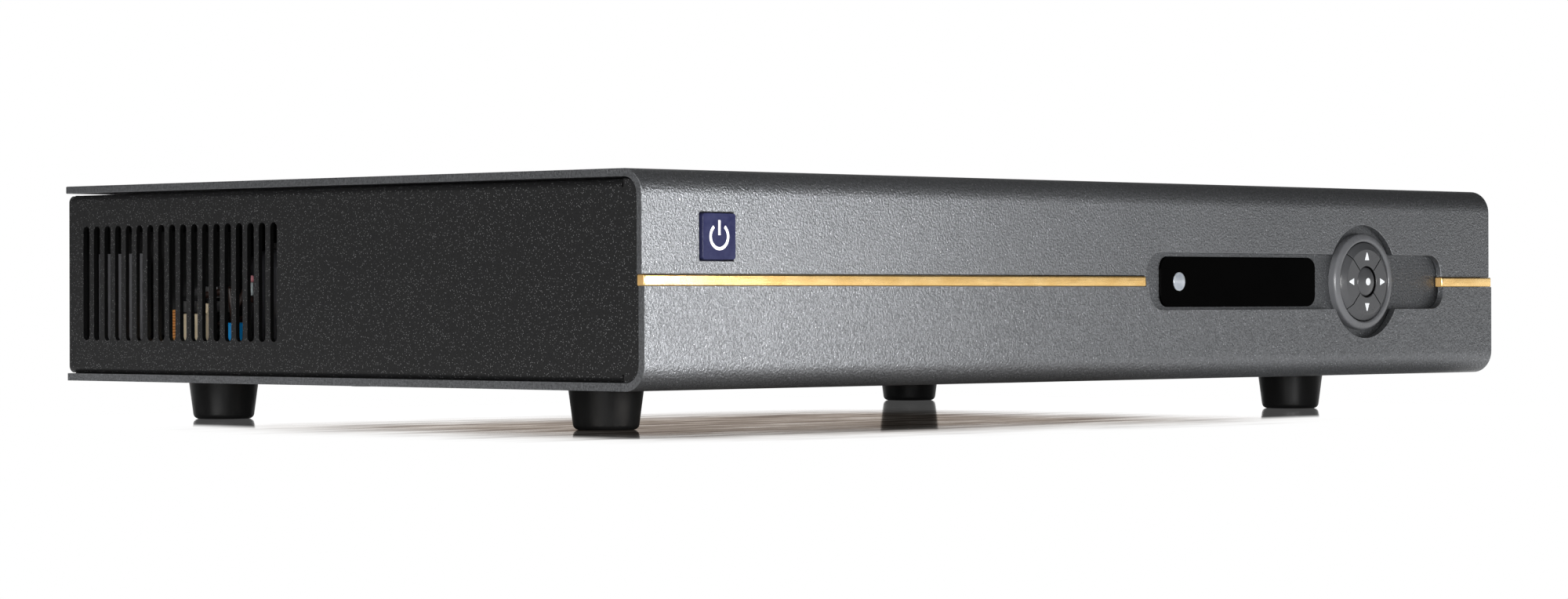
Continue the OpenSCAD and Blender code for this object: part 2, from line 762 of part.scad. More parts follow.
module xlr_sockets() color("#1e1f21") seat() {
    for (at = xlr_out_at) difference() {
        xlr_housing(at);
        shaft(at, xlr_bore, xlr_face - xlr_depth, xlr_face + 1);
        for (p = pin_places(at)) shaft(p, 1.2, 250, xlr_face);
    }
    difference() {
        xlr_housing(xlr_in_at);
        difference() {
            shaft(xlr_in_at, 9.7, xlr_face - xlr_depth, xlr_face + 1);
            shaft(xlr_in_at, 7.9, xlr_face - xlr_depth - 1, xlr_face - 0.6);
        }
        for (p = pin_places(xlr_in_at)) shaft(p, 1.4, xlr_face - 10, xlr_face + 1);
        deep(rear_out - 8, xlr_face + 1) translate(xlr_in_at + [0, 11.8]) square([7.2, 4.4], center = true);
    }
}

module xlr_pins() color("gold") seat()
    for (at = xlr_out_at, p = pin_places(at)) shaft(p, 1.2, rear_out - 23, xlr_face - 2.2);

module xlr_latch() color("#b8babc") seat() {
    deep(rear_out - 5, xlr_face + 2) translate(xlr_in_at + [0, 11.8]) round_rect(6.6, 3.8, 0.6);
}

// Hex nut on a shaft along Y
module panel_nut(at, r, hole, y0, y1) difference() {
    deep(y0, y1) translate(at) circle(r, $fn = 6);
    shaft(at, hole, y0 - 1, y1 + 1);
}

module rca_sockets() color("#d4a53c") seat() for (at = phono_at) {
    difference() {
        union() {
            shaft(at, phono_r, rear_out - 12, rear_end);
            shaft(at, 6.2, rear_out, rear_out + 1.6);
        }
        shaft(at, 3.3, rear_end - 8, rear_end + 1);
        shaft(at, 1.6, rear_out - 13, rear_end);
    }
    panel_nut(at, 6.6, phono_r, rear_y - 3, rear_y);
    difference() {
        shaft(at, 3.3, rear_end - 8, rear_end - 0.6);
        shaft(at, 1.6, rear_end - 9, rear_end);
    }
}

// Trigger jacks, the computer socket, the two video-style sockets and the optical housing
module digital_sockets() color("#a8aaad") seat() {
    for (at = trigger_at) difference() {
        union() {
            deep(270, rear_y) translate(at) square([9.6, 10.6], center = true);
            shaft(at, 3.8, rear_y - 0.1, rear_out + 2);
            shaft(at, 5, rear_out, rear_out + 1.4);
        }
        shaft(at, jack_bore, rear_out - 12, rear_out + 3);
    }
    difference() {
        deep(270, rear_out + 1) translate(usb_at) square([12, 10.8], center = true);
        deep(278, rear_out + 2) translate(usb_at) difference() {
            square([8.6, 7.8], center = true);
            square([5.6, 3.2], center = true);
        }
    }
    for (at = video_at) difference() {
        deep(275, rear_out + 1) translate(at) square([15, 6.2], center = true);
        deep(279, rear_out + 2) translate(at) difference() {
            square([14, 4.6], center = true);
            square([11.6, 1.6], center = true);
        }
    }
    difference() {
        deep(272, optical_face) translate(optical_at) square([13.6, 11.2], center = true);
        deep(276, optical_face + 1) translate(optical_at) square([10, 8.6], center = true);
        translate(shutter_at) cross_pin(0.55, 11.4);
    }
}

// Sprung flap that closes the optical socket, hinged along its top
module optical_shutter() color("#111111") seat()
    translate(shutter_at) {
        block([-4.7, -0.5, -6.9], [4.7, 0.5, 0.3]);
        cross_pin(0.5, 11.2);
    }

top_cover();
bottom_cover();
left_side_panel();
right_side_panel();
rear_panel();
front_subpanel();
trim_left();
trim_right();
foot_front_left();
foot_front_right();
foot_rear_left();
foot_rear_right();
foot_screws();
case_screws();
display_window();
display_panel();
ir_lens();
ir_receiver();
front_board();
front_standoffs();
nav_bezel();
nav_up_key();
nav_down_key();
nav_left_key();
nav_right_key();
nav_select_key();
key_switches();
standby_button();
standby_board();
main_board();
board_standoffs();
board_screws();
logic_chips();
chip_heatsink();
power_transformer();
transformer_pads();
transformer_dish();
transformer_bolt();
supply_board();
smoothing_capacitors();
regulators();
regulator_heatsink();
inlet_shield();
filter_board();
film_capacitors();
mains_relay();
ribbon_cable();
mains_wiring();
inlet_body();
inlet_blades();
fuse_drawer();
mains_fuse();
rocker_frame();
power_rocker();
xlr_sockets();
xlr_pins();
xlr_latch();
rca_sockets();
digital_sockets();
optical_shutter();
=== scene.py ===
import math

import bmesh
import bpy
from mathutils import Matrix, Vector

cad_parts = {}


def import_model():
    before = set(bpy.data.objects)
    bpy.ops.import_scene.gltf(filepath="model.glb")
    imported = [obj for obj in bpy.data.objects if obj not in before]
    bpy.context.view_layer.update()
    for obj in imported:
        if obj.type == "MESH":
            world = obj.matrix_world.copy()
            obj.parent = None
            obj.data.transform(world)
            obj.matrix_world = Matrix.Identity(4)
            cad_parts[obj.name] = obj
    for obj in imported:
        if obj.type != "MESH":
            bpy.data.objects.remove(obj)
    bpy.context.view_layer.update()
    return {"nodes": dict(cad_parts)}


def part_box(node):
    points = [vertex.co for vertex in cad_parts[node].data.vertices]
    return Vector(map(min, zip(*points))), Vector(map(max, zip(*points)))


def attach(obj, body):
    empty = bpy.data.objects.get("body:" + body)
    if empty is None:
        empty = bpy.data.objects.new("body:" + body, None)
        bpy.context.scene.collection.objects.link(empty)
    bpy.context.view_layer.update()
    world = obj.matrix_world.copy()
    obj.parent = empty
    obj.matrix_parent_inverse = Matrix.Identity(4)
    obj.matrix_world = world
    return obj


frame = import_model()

MM = 0.001
CHASSIS = "chassis"


# ---------------------------------------------------------------------------------------
# Materials
# ---------------------------------------------------------------------------------------

class Finish:
    """A Principled material, built up from procedural nodes. Sizes are in millimetres."""

    def __init__(self, name, color, roughness, **settings):
        self.material = bpy.data.materials.new(name)
        self.material.use_nodes = True
        self.tree = self.material.node_tree
        self.shader = self.tree.nodes["Principled BSDF"]
        self.shader.inputs["Base Color"].default_value = (*color, 1)
        self.shader.inputs["Roughness"].default_value = roughness
        for label, value in settings.items():
            self.shader.inputs[label.replace("_", " ")].default_value = value
        self.place = self.tree.nodes.new("ShaderNodeTexCoord").outputs["Object"]
        self.normal = None

    def link(self, source, target):
        self.tree.links.new(source, target)

    def stretched(self, stretch):
        mapping = self.tree.nodes.new("ShaderNodeMapping")
        mapping.inputs["Scale"].default_value = stretch
        self.link(self.place, mapping.inputs["Vector"])
        return mapping.outputs["Vector"]

    def noise(self, size, detail=2.0, roughness=0.5, stretch=(1, 1, 1)):
        node = self.tree.nodes.new("ShaderNodeTexNoise")
        self.link(self.stretched(stretch), node.inputs["Vector"])
        node.inputs["Scale"].default_value = 1 / (size * MM)
        node.inputs["Detail"].default_value = detail
        node.inputs["Roughness"].default_value = roughness
        return node.outputs["Fac"]

    def cells(self, size):
        """Scattered points: the distance to the nearest one, and its random colour."""
        node = self.tree.nodes.new("ShaderNodeTexVoronoi")
        self.link(self.place, node.inputs["Vector"])
        node.inputs["Scale"].default_value = 1 / (size * MM)
        return node.outputs["Distance"], node.outputs["Color"]

    def ramp(self, fac, *stops):
        """Maps fac through (position, value or colour) stops."""
        node = self.tree.nodes.new("ShaderNodeValToRGB")
        self.link(fac, node.inputs["Fac"])
        elements = node.color_ramp.elements
        while len(elements) < len(stops):
            elements.new(0.5)
        for element, (position, value) in zip(elements, stops):
            element.position = position
            element.color = (*value, 1) if isinstance(value, tuple) else (value, value, value, 1)
        return node.outputs["Color"]

    def math(self, operation, a, b=None):
        node = self.tree.nodes.new("ShaderNodeMath")
        node.operation = operation
        for socket, value in zip(node.inputs, (a, b)):
            if isinstance(value, (int, float)):
                socket.default_value = value
            elif value is not None:
                self.link(value, socket)
        return node.outputs["Value"]

    def blend(self, fac, first, second):
        """Mixes two colours, each of them a socket or plain values."""
        node = self.tree.nodes.new("ShaderNodeMix")
        node.data_type = "RGBA"
        self.link(fac, node.inputs["Factor"])
        for label, value in (("A", first), ("B", second)):
            if isinstance(value, tuple):
                node.inputs[label].default_value = (*value, 1)
            else:
                self.link(value, node.inputs[label])
        return node.outputs["Result"]

    def axis(self, vector, name):
        node = self.tree.nodes.new("ShaderNodeSeparateXYZ")
        self.link(vector, node.inputs["Vector"])
        return node.outputs[name]

    def walls(self, name):
        """1 on the faces that are side-on to the named axis."""
        normal = self.tree.nodes.new("ShaderNodeTexCoord").outputs["Normal"]
        return self.ramp(self.math("ABSOLUTE", self.axis(normal, name)), (0.25, 1.0), (0.6, 0.0))

    def between(self, low, high):
        """1 between two heights."""
        height = self.axis(self.place, "Z")
        above = self.math("GREATER_THAN", height, low)
        return self.math("MULTIPLY", above, self.math("LESS_THAN", height, high))

    def darken(self, source, mask, share):
        """Scales a colour down where a mask is 1."""
        scaled = self.tree.nodes.new("ShaderNodeVectorMath")
        scaled.operation = "SCALE"
        self.link(source, scaled.inputs["Vector"])
        self.link(self.math("SUBTRACT", 1.0, self.math("MULTIPLY", mask, share)), scaled.inputs["Scale"])
        return scaled.outputs["Vector"]

    def bump(self, height, depth):
        node = self.tree.nodes.new("ShaderNodeBump")
        node.inputs["Distance"].default_value = depth * MM
        self.link(height, node.inputs["Height"])
        if self.normal:
            self.link(self.normal, node.inputs["Normal"])
        self.normal = node.outputs["Normal"]
        self.link(self.normal, self.shader.inputs["Normal"])

    def color(self, source):
        self.link(source, self.shader.inputs["Base Color"])

    def roughness(self, source):
        self.link(source, self.shader.inputs["Roughness"])


def shade(color, factor):
    return tuple(c * factor for c in color)


def powder_coat(name, color, roughness, flake_tone, grain=0.74, depth=0.27, flake=0.7, flake_share=0.12,
                slot_shade=None, **settings):
    """Textured powder coat: a tight orange-peel grain with scattered bright flakes.

    The slot shade gives two heights between which painted shade darkens the vent walls, the faces side-on to
    X, to near black.
    """
    f = Finish(name, color, roughness, **settings)
    peel = f.noise(grain, roughness=0.65)
    fine = f.noise(grain * 0.4, detail=1.5)
    cloud = f.noise(70, detail=3)
    f.bump(peel, depth)
    f.bump(fine, depth * 0.3)
    tone = f.math("ADD", f.math("MULTIPLY", peel, 0.85), f.math("MULTIPLY", cloud, 0.15))
    body = f.ramp(tone, (0.32, shade(color, 0.7)), (0.68, shade(color, 1.32)))
    distance, chance = f.cells(flake)
    channels = f.tree.nodes.new("ShaderNodeSeparateColor")
    f.link(chance, channels.inputs["Color"])
    near = f.ramp(distance, (0.16, 1.0), (0.3, 0.0))
    picked = f.ramp(channels.outputs["Red"], (1 - flake_share, 0.0), (1.001 - flake_share, 1.0))
    paint = f.blend(f.math("MULTIPLY", near, picked), body, flake_tone)
    if slot_shade:
        # painted shade: inside the vents the walls side-on to X are darkened to near black
        paint = f.darken(paint, f.math("MULTIPLY", f.walls("X"), f.between(*slot_shade)), 0.97)
    f.color(paint)
    f.roughness(f.ramp(fine, (0.3, roughness * 0.88), (0.7, roughness * 1.12)))
    return f.material


def moulded(name, color, roughness, grain=0.25, depth=0.012, gap_shade=0.0, **settings):
    """Moulded plastic or rubber: a spark-eroded grain with slight handling marks.

    The gap shade is painted: it is how much darker the faces are that look away from the front, between
    neighbouring keys.
    """
    f = Finish(name, color, roughness, **settings)
    f.bump(f.noise(grain, detail=3, roughness=0.6), depth)
    wear = f.noise(9, detail=5, roughness=0.65)
    tone = f.ramp(wear, (0.25, shade(color, 0.85)), (0.8, shade(color, 1.2)))
    # painted shade: the faces side-on to the front are darkened, as where the keys meet
    f.color(f.darken(tone, f.walls("Y"), gap_shade) if gap_shade else tone)
    f.roughness(f.ramp(wear, (0.3, roughness * 0.85), (0.75, min(1.0, roughness * 1.18))))
    return f.material


def metal(name, color, roughness, stretch=(1, 1, 1), grain=0.5):
    """Bare or plated metal, with fine drawing marks along the axis whose stretch is below 1."""
    f = Finish(name, color, roughness, Metallic=1.0)
    marks = f.noise(grain, detail=4, roughness=0.6, stretch=stretch)
    stain = f.noise(14, detail=4)
    f.bump(marks, 0.004)
    f.color(f.ramp(stain, (0.25, shade(color, 0.88)), (0.75, color)))
    f.roughness(f.ramp(marks, (0.25, roughness * 0.7), (0.75, min(1.0, roughness * 1.35))))
    return f.material


def circuit_board_finish():
    """Solder mask over copper runs, with tinned pads."""
    mask = (0.012, 0.07, 0.032)
    f = Finish("circuit_board", mask, 0.35, Coat_Weight=0.4)
    runs = f.math("MULTIPLY",
                  f.ramp(f.noise(2.6, detail=0, stretch=(1, 0.12, 1)), (0.46, 0.0), (0.5, 1.0)),
                  f.ramp(f.noise(14, detail=0), (0.4, 0.0), (0.45, 1.0)))
    pads = f.ramp(f.cells(4.3)[0], (0.16, 1.0), (0.2, 0.0))
    tone = f.ramp(runs, (0.0, mask), (1.0, (0.03, 0.15, 0.06)))
    f.color(f.blend(pads, tone, (0.6, 0.58, 0.5)))
    f.bump(runs, 0.04)
    return f.material


def winding_finish(centre):
    """Polyester tape wound round the toroid's core: overlapping turns at a slant."""
    f = Finish("transformer_wrap", (0.035, 0.035, 0.04), 0.32, Coat_Weight=0.5)
    shift = f.tree.nodes.new("ShaderNodeMapping")
    shift.inputs["Location"].default_value = (-centre.x, -centre.y, 0)
    f.link(f.place, shift.inputs["Vector"])
    x, y, z = (f.axis(shift.outputs["Vector"], name) for name in "XYZ")
    turns = 36
    slant = f.math("ADD", f.math("ARCTAN2", y, x), f.math("MULTIPLY", z, 6.0))
    laps = f.math("FRACT", f.math("MULTIPLY", slant, turns / math.tau))
    f.bump(laps, 0.5)
    f.color(f.ramp(laps, (0.0, (0.012, 0.012, 0.014)), (0.12, (0.045, 0.045, 0.05)),
                   (1.0, (0.03, 0.03, 0.034))))
    f.bump(f.noise(5, detail=3), 0.12)
    return f.material


def lens_finish():
    f = Finish("ir_lens_plastic", (0.42, 0.47, 0.53), 0.16, Coat_Weight=1.0, Subsurface_Weight=0.4)
    f.shader.inputs["Subsurface Radius"].default_value = (0.002, 0.002, 0.003)
    haze = f.noise(3.0, detail=2)
    f.color(f.ramp(haze, (0.3, (0.2, 0.225, 0.26)), (0.7, (0.3, 0.32, 0.345))))
    f.bump(f.noise(0.8, detail=1), 0.01)
    return f.material


def badge_finish():
    """Deep blue resin over a metallic ground."""
    f = Finish("badge_gloss", (0.014, 0.014, 0.075), 0.12, Specular_IOR_Level=0.12)
    cloud = f.noise(6, detail=4, roughness=0.6)
    f.color(f.ramp(cloud, (0.25, (0.012, 0.013, 0.045)), (0.75, (0.03, 0.033, 0.08))))
    f.roughness(f.ramp(f.noise(1.5, detail=3), (0.3, 0.08), (0.8, 0.2)))
    f.bump(f.noise(2.5, detail=2), 0.01)
    return f.material


def window_finish():
    f = Finish("window_gloss", (0.0012, 0.0012, 0.0014), 0.06, Specular_IOR_Level=0.004)
    smears = f.noise(22, detail=5, roughness=0.7)
    f.roughness(f.ramp(smears, (0.35, 0.04), (0.8, 0.1)))
    f.color(f.ramp(smears, (0.3, 0.0004), (0.8, 0.0008)))
    return f.material


def print_finish():
    f = Finish("legend_ink", (0.78, 0.8, 0.82), 0.45)
    f.color(f.ramp(f.noise(0.6, detail=2), (0.3, (0.68, 0.7, 0.72)), (0.7, (0.84, 0.86, 0.88))))
    f.bump(f.noise(0.3, detail=1), 0.004)
    return f.material


def inlay_finish():
    """Bright foil inlaid in the badge."""
    f = Finish("badge_inlay", (0.9, 0.88, 0.88), 0.4, Metallic=0.7)
    f.color(f.ramp(f.noise(1.2, detail=2), (0.3, (0.82, 0.8, 0.8)), (0.7, (0.95, 0.93, 0.93))))
    f.roughness(f.ramp(f.noise(0.8, detail=2), (0.3, 0.34), (0.7, 0.46)))
    return f.material


def gold_finish():
    """Polished gold plate with long, faint drawing lines, and matt where it is cut off."""
    f = Finish("trim_gold", (0.66, 0.43, 0.17), 0.24, Metallic=1.0)
    lines = f.noise(0.35, detail=4, roughness=0.65, stretch=(0.02, 1, 1))
    waves = f.noise(5, detail=2, stretch=(0.5, 1, 1))
    f.bump(waves, 0.035)
    f.bump(lines, 0.006)
    f.color(f.ramp(waves, (0.3, (0.7, 0.45, 0.165)), (0.7, (0.82, 0.57, 0.25))))
    f.roughness(f.blend(f.walls("Y"), f.ramp(lines, (0.3, 0.18), (0.75, 0.3)), (0.7, 0.7, 0.7)))
    return f.material


# the vent openings stop well short of the folds along the top and bottom of the side panels; between these
# heights their walls get painted shade
side_low, side_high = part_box("left_side_panel")
fold = 0.1 * (side_high.z - side_low.z)
SLOT_SHADE_HEIGHTS = (side_low.z + fold, side_high.z - fold)

COVER = powder_coat("cover_paint", (0.178, 0.183, 0.191), 0.4, (0.5, 0.51, 0.53), Metallic=0.9)
SUBPANEL = powder_coat("subpanel_paint", (0.12, 0.124, 0.13), 0.44, (0.4, 0.41, 0.43),
                       grain=0.8, depth=0.28, Metallic=0.88)
# the side paint carries painted shade on the walls of its vent openings
SIDE = powder_coat("side_paint", (0.008, 0.008, 0.0084), 0.5, (0.16, 0.16, 0.163), grain=0.6, depth=0.05,
                   flake=0.6, flake_share=0.36, slot_shade=SLOT_SHADE_HEIGHTS, Specular_IOR_Level=0.33)
TRIM = gold_finish()
RUBBER = moulded("foot_rubber", (0.0045, 0.0045, 0.0045), 0.45, grain=0.5, depth=0.01,
                 Specular_IOR_Level=0.14)
PAD = moulded("pad_rubber", (0.015, 0.015, 0.015), 0.8, grain=0.6, depth=0.02)
# the key plastic carries painted shade on its sides, between the keys
KEY = moulded("key_plastic", (0.046, 0.047, 0.05), 0.3, grain=0.16, depth=0.006, gap_shade=0.97)
BEZEL = moulded("bezel_plastic", (0.1, 0.102, 0.108), 0.3, grain=0.2, depth=0.008)
BLACK_PLASTIC = moulded("black_plastic", (0.014, 0.014, 0.014), 0.42, grain=0.3, depth=0.02)
ROCKER = moulded("rocker_gloss", (0.014, 0.014, 0.015), 0.2, grain=0.4, depth=0.004)
CHIP = moulded("chip_black", (0.016, 0.016, 0.018), 0.55, grain=0.12, depth=0.01)
SLEEVE = moulded("capacitor_sleeve", (0.012, 0.016, 0.045), 0.25, grain=1.5, depth=0.02)
FILM = moulded("film_capacitor_case", (0.86, 0.72, 0.5), 0.35, grain=0.6, depth=0.01)
RELAY = moulded("relay_case", (0.005, 0.32, 0.8), 0.3, grain=0.6, depth=0.01)
RIBBON = moulded("ribbon_sleeve", (0.35, 0.36, 0.37), 0.5, grain=0.5, depth=0.02)
WIRE = moulded("wire_sleeve", (0.03, 0.014, 0.01), 0.35, grain=1.0, depth=0.01)
PINK = moulded("marker_sleeve", (0.85, 0.34, 0.38), 0.4, grain=1.0, depth=0.01)
FERRITE = moulded("choke_core", (0.03, 0.028, 0.026), 0.7, grain=0.5, depth=0.03)
STEEL = metal("screw_steel", (0.62, 0.62, 0.63), 0.3)
PLATED = metal("plated_steel", (0.55, 0.55, 0.56), 0.36, stretch=(1, 0.1, 1), grain=0.8)
SHIELD = moulded("shield_paint", (0.16, 0.16, 0.17), 0.5, grain=1.0, depth=0.02)
BLACK_STEEL = metal("screw_black", (0.05, 0.05, 0.052), 0.4)
ALUMINIUM = metal("heatsink_aluminium", (0.6, 0.61, 0.62), 0.42, stretch=(1, 1, 0.06))
BLACK_ANODISED = metal("heatsink_black", (0.035, 0.035, 0.038), 0.5, stretch=(1, 1, 0.06))
BRASS = metal("standoff_brass", (0.72, 0.52, 0.24), 0.3)
CONTACT = metal("contact_gold", (0.88, 0.62, 0.24), 0.2)
SOCKET = moulded("socket_black", (0.02, 0.02, 0.021), 0.4, grain=0.4, depth=0.02)
BOARD = circuit_board_finish()
LENS = lens_finish()
BADGE = badge_finish()
WINDOW = window_finish()
LEGEND = print_finish()
INLAY = inlay_finish()
COPPER = moulded("choke_copper", (0.9, 0.42, 0.13), 0.22, grain=1.0, depth=0.01)
CRIMP = moulded("crimp_shell", (0.66, 0.73, 0.75), 0.15, grain=1.0, depth=0.01)
FUSE = metal("fuse_caps", (0.7, 0.7, 0.71), 0.25)


# ---------------------------------------------------------------------------------------
# CAD nodes: softened edges and finishes
# ---------------------------------------------------------------------------------------

def smooth(obj, bevel, segments):
    """Rounds the sharp edges of a piece by a fraction of a millimetre and shades it evenly."""
    for polygon in obj.data.polygons:
        polygon.use_smooth = True
    weld = obj.modifiers.new("Weld", "WELD")
    weld.merge_threshold = 0.002 * MM
    flat = obj.modifiers.new("Flat areas", "DECIMATE")
    flat.decimate_type = "DISSOLVE"
    flat.angle_limit = math.radians(0.4)
    if bevel:
        edge = obj.modifiers.new("Bevel", "BEVEL")
        edge.width = bevel * MM
        edge.segments = segments
        edge.limit_method = "ANGLE"
        edge.angle_limit = math.radians(30)
        edge.miter_outer = "MITER_ARC"
        edge.use_clamp_overlap = True
    weighted = obj.modifiers.new("Normals", "WEIGHTED_NORMAL")
    weighted.keep_sharp = True
    weighted.weight = 80


def dress(node, material, bevel=0.0, segments=1):
    obj = frame["nodes"][node]
    obj.data.materials.clear()
    obj.data.materials.append(material)
    smooth(obj, bevel, segments)


DRESSED = {
    "top_cover": (COVER, 0.35, 3), "bottom_cover": (COVER, 0.35, 3),
    "front_subpanel": (SUBPANEL, 0.2, 2),
    "left_side_panel": (SIDE, 0.25, 2), "right_side_panel": (SIDE, 0.25, 2),
    "rear_panel": (SIDE, 0.2, 2),
    "trim_left": (TRIM, 0.4, 3), "trim_right": (TRIM, 0.4, 3),
    "foot_front_left": (RUBBER, 0.3, 2), "foot_front_right": (RUBBER, 0.3, 2),
    "foot_rear_left": (RUBBER, 0.3, 2), "foot_rear_right": (RUBBER, 0.3, 2),
    "foot_screws": (STEEL, 0.25, 2), "case_screws": (BLACK_STEEL, 0.2, 2),
    "display_window": (WINDOW, 0.15, 2), "display_panel": (WINDOW, 0.0, 1),
    "ir_lens": (LENS, 0.0, 1), "ir_receiver": (CHIP, 0.2, 2),
    "front_board": (BOARD, 0.0, 1), "standby_board": (BOARD, 0.0, 1),
    "main_board": (BOARD, 0.0, 1), "supply_board": (BOARD, 0.0, 1), "filter_board": (BOARD, 0.0, 1),
    "front_standoffs": (BRASS, 0.1, 1), "board_standoffs": (BRASS, 0.15, 1),
    "nav_bezel": (BEZEL, 0.12, 3),
    "nav_up_key": (KEY, 0.1, 2), "nav_down_key": (KEY, 0.1, 2),
    "nav_left_key": (KEY, 0.1, 2), "nav_right_key": (KEY, 0.1, 2),
    "nav_select_key": (KEY, 0.15, 2), "key_switches": (CHIP, 0.1, 1),
    "standby_button": (BADGE, 0.3, 3),
    "board_screws": (STEEL, 0.2, 2), "logic_chips": (CHIP, 0.1, 1),
    "chip_heatsink": (BLACK_ANODISED, 0.1, 1), "transformer_pads": (PAD, 0.3, 2),
    "transformer_dish": (PLATED, 0.2, 2), "transformer_bolt": (STEEL, 0.3, 2),
    "smoothing_capacitors": (SLEEVE, 0.5, 3), "regulators": (CHIP, 0.2, 1),
    "regulator_heatsink": (ALUMINIUM, 0.2, 1), "inlet_shield": (SHIELD, 0.2, 2),
    "film_capacitors": (FILM, 0.5, 3), "mains_relay": (RELAY, 0.4, 3),
    "ribbon_cable": (RIBBON, 0.15, 1), "mains_wiring": (WIRE, 0.0, 1),
    "inlet_body": (BLACK_PLASTIC, 0.25, 2), "inlet_blades": (PLATED, 0.25, 2),
    "fuse_drawer": (BLACK_PLASTIC, 0.25, 2), "mains_fuse": (FUSE, 0.15, 1),
    "rocker_frame": (BLACK_PLASTIC, 0.25, 2), "power_rocker": (ROCKER, 0.4, 3),
    "xlr_sockets": (SOCKET, 0.3, 2), "xlr_pins": (CONTACT, 0.25, 2),
    "xlr_latch": (PLATED, 0.3, 2), "rca_sockets": (CONTACT, 0.2, 2),
    "digital_sockets": (PLATED, 0.2, 2), "optical_shutter": (BLACK_PLASTIC, 0.15, 2),
}
for node, (finish, bevel, segments) in DRESSED.items():
    dress(node, finish, bevel, segments)

toroid_low, toroid_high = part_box("power_transformer")
dress("power_transformer", winding_finish((toroid_low + toroid_high) / 2))


# ---------------------------------------------------------------------------------------
# Pieces built here
# ---------------------------------------------------------------------------------------

def piece(name, mesh, material, body):
    """A new object from a bmesh, riding on a body."""
    data = bpy.data.meshes.new(name)
    mesh.to_mesh(data)
    mesh.free()
    data.materials.append(material)
    obj = bpy.data.objects.new(name, data)
    bpy.context.scene.collection.objects.link(obj)
    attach(obj, body)
    return obj


def plate(outline, front, back):
    """A flat piece facing the front: an (x, z) outline, drawn from y = front to y = back."""
    mesh = bmesh.new()
    ring = [mesh.verts.new((x, front, z)) for x, z in outline]
    face = mesh.faces.new(ring)
    raised = bmesh.ops.extrude_face_region(mesh, geom=[face])
    moved = [v for v in raised["geom"] if isinstance(v, bmesh.types.BMVert)]
    bmesh.ops.translate(mesh, verts=moved, vec=(0, back - front, 0))
    bmesh.ops.recalc_face_normals(mesh, faces=mesh.faces)
    return mesh


def arc_points(centre, radius, start, end, count):
    """Points on an arc in the (x, z) plane. Angles are in degrees, and 0 points up."""
    angles = [math.radians(start + (end - start) * i / (count - 1)) for i in range(count)]
    return [(centre[0] + radius * math.sin(a), centre[1] + radius * math.cos(a)) for a in angles]


def tube(points, radius, sides=10):
    """A round bar swept along a list of points, closed at both ends."""
    mesh = bmesh.new()
    rings = []
    for i, point in enumerate(points):
        ahead = (points[min(i + 1, len(points) - 1)] - points[max(i - 1, 0)]).normalized()
        side = (side - ahead * side.dot(ahead) if rings else ahead.orthogonal()).normalized()
        other = ahead.cross(side)
        rings.append([mesh.verts.new(point + radius * (math.cos(a) * side + math.sin(a) * other))
                      for a in (math.tau * k / sides for k in range(sides))])
    for near, far in zip(rings, rings[1:]):
        for k in range(sides):
            mesh.faces.new((near[k], near[(k + 1) % sides], far[(k + 1) % sides], far[k]))
    mesh.faces.new(reversed(rings[0]))
    mesh.faces.new(rings[-1])
    bmesh.ops.recalc_face_normals(mesh, faces=mesh.faces)
    for face in mesh.faces:
        face.smooth = len(face.verts) == 4
    return mesh


def filter_details():
    """Small wound and wired parts on the filter board, beside the left vents."""
    board_low, board_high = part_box("filter_board")
    capacitor_low, capacitor_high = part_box("film_capacitors")
    relay_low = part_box("mains_relay")[0]

    core = Vector((capacitor_low.x + 2.9 * MM, capacitor_high.y + 6.6 * MM, 0))
    foot, height, turns, wire = board_high.z, 12.5 * MM, 12, 0.45 * MM
    reach = 1.9 * MM
    column = [core + Vector((0, 0, foot + t * height)) for t in (0, 0.5, 1)]
    piece("choke_core", tube(column, reach - wire, 20), FERRITE, CHASSIS)
    steps = turns * 20
    coil = []
    for i in range(steps + 1):
        a = math.tau * turns * i / steps
        rise = foot + wire + (height - 2 * wire) * i / steps
        coil.append(core + Vector((reach * math.cos(a), reach * math.sin(a), rise)))
    piece("choke_winding", tube(coil, wire, 8), COPPER, CHASSIS)

    lead = Vector((capacitor_low.x + 6 * MM, relay_low.y - 6.1 * MM, 0))
    bands = (("lead_wire", 0, 24.4, 0.5, BLACK_PLASTIC), ("lead_crimp", 16.9, 21.3, 1.1, CRIMP),
             ("lead_marker", 21.5, 23.6, 1.3, PINK), ("lead_sleeve", 14.6, 16.7, 0.95, WIRE))
    for name, start, end, radius, finish in bands:
        ends = [lead + Vector((0, 0, board_high.z + h * MM)) for h in (start, end)]
        piece(name, tube(ends, radius * MM, 14), finish, CHASSIS)


# how far a printed mark reaches above and below the surface that it is on
INK = 0.05 * MM


def key_legends():
    """Printed arrows on the four outer keys, and a dot on the select key."""
    low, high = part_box("nav_select_key")
    x, z = (low.x + high.x) / 2, (low.z + high.z) / 2
    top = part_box("nav_up_key")[0].y
    reach, half, height = 9.0 * MM, 1.25 * MM, 2.7 * MM
    tip, foot, point = reach + height / 2, reach - height / 2, 0.18 * half
    corners = [(-half, foot), (half, foot), (point, tip), (-point, tip)]
    for key, turn in (("nav_up_key", 0), ("nav_right_key", 90), ("nav_down_key", 180), ("nav_left_key", 270)):
        a = math.radians(turn)
        outline = [(x + u * math.cos(a) + v * math.sin(a), z - u * math.sin(a) + v * math.cos(a))
                   for u, v in corners]
        piece(f"{key}_arrow", plate(outline, top - INK, top + INK), LEGEND, key)
    dot = plate(arc_points((x, z), 1.3 * MM, 0, 350, 36), low.y - 0.2 * INK, low.y + 4 * INK)
    piece("select_dot", dot, LEGEND, "nav_select_key")


